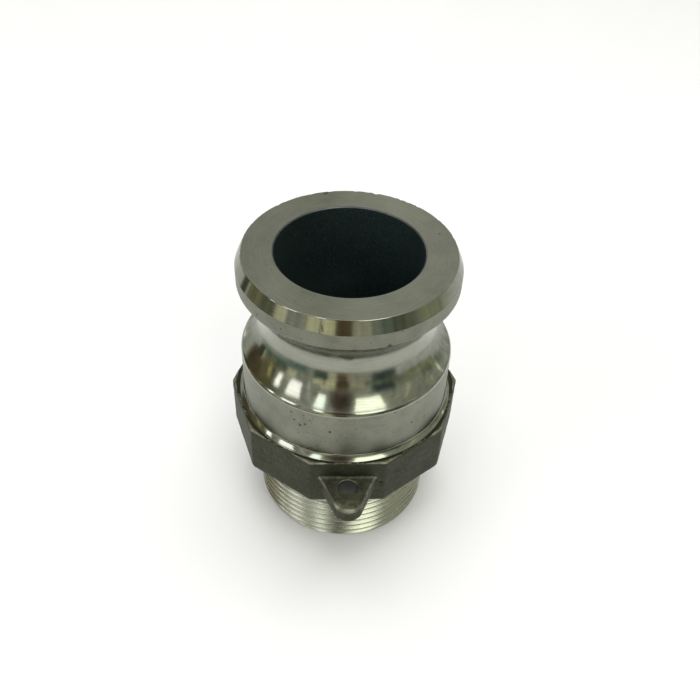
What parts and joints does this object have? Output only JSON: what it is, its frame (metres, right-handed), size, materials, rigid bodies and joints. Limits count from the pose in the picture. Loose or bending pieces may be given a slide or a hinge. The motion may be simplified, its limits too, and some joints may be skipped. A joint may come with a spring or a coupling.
{
  "type": "camlock coupling",
  "caption": "Male camlock adapter: a cam-groove spigot for a hose coupler on a cast wrench hub, with a male taper pipe thread below and an ear for a cap chain.",
  "frame": {"origin": "on the bore's axis, at the end face of the male thread, which is the object's lowest plane", "axes": "+Z along the bore, from the thread towards the cam-groove spigot; -Y through the middle of the ear"},
  "size_m": [0.0598, 0.0672, 0.0815],
  "materials": {
    "turned_face": "turned stainless, fine concentric tool marks",
    "turned_barrel": "turned stainless, groove bright to mirror, cylinder satin",
    "cast_hub": "stainless as cast and blasted, matte olive grey",
    "cast_ear": "stainless as cast and blasted, matte olive grey",
    "cut_thread": "cut stainless thread, bright"
  },
  "bodies": {
    "root": {"sealing_collar": "turned_face", "spigot_barrel": "turned_barrel", "wrench_hub": "cast_hub", "tether_ear": "cast_ear", "pipe_thread": "cut_thread"}
  },
  "joints": []
}
